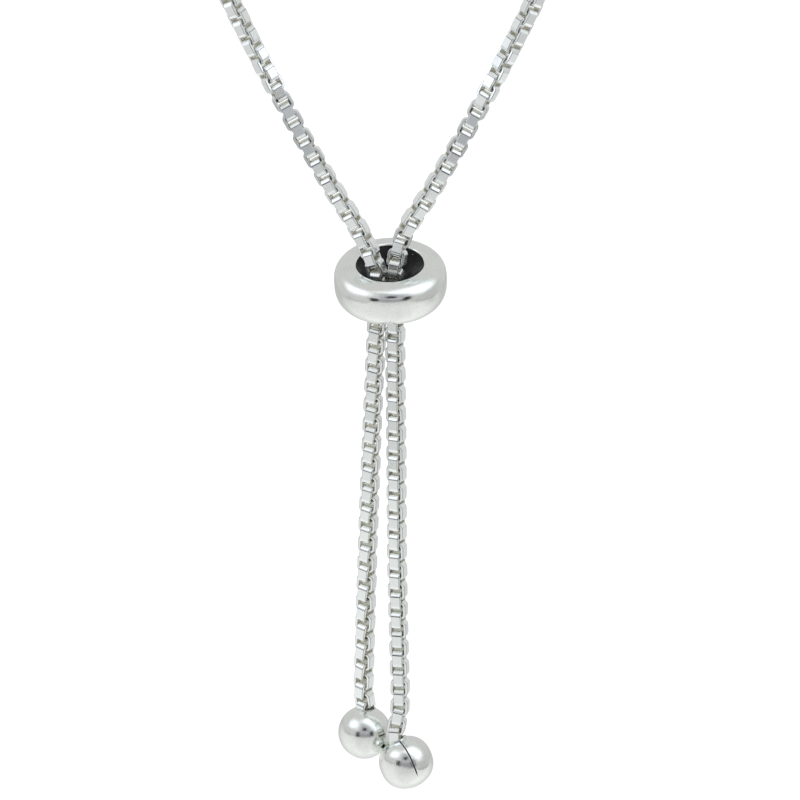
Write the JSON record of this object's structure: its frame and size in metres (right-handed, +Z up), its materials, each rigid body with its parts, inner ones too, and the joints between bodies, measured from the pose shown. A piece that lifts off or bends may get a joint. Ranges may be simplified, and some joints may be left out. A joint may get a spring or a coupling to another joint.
{
  "type": "link bracelet",
  "caption": "Slider bracelet of fine silver box chain: a wrist loop drawn closed by a round bead slider with a black grip core, and hanging tails that end in balls.",
  "frame": {"origin": "inside top of the wrist loop, where a wrist or a peg carries the hanging bracelet", "axes": "+Z up against gravity, +X to the right across the loop, +Y away from the viewer, through the loop"},
  "size_m": [0.0512, 0.0155, 0.1222],
  "materials": {
    "chain_silver": "bright polished silver, faintly worn edges",
    "ring_silver": "polished silver with fine handling scratches",
    "ball_silver": "polished silver with fine brushed streaks",
    "black_silicone": "glossy black silicone"
  },
  "bodies": {
    "root": {"box_chain": "chain_silver", "slider_ring": "ring_silver", "slider_core": "black_silicone", "end_ball_left": "ball_silver", "end_ball_right": "ball_silver"}
  },
  "joints": []
}
